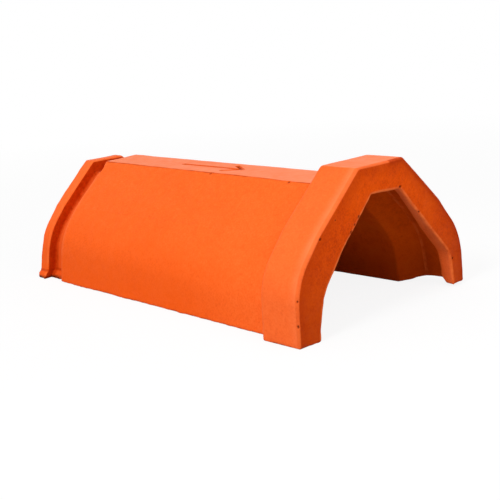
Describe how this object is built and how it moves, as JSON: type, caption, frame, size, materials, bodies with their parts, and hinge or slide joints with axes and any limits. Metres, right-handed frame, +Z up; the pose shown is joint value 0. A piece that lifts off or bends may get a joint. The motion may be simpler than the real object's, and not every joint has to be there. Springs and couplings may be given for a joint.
{
  "type": "clay ridge roof tile",
  "caption": "Faceted arch ridge tile of fired clay that caps a roof ridge: a raised collar at one end laps over the grooved spigot of the next tile.",
  "frame": {"origin": "centre of the footprint, on the level floor that the feet stand on", "axes": "+X along the ridge toward the collar, +Y across the ridge, +Z up"},
  "size_m": [0.372, 0.209, 0.1225],
  "materials": {
    "clay": "matte"
  },
  "bodies": {
    "root": {"ridge_tile": "clay"}
  },
  "joints": []
}
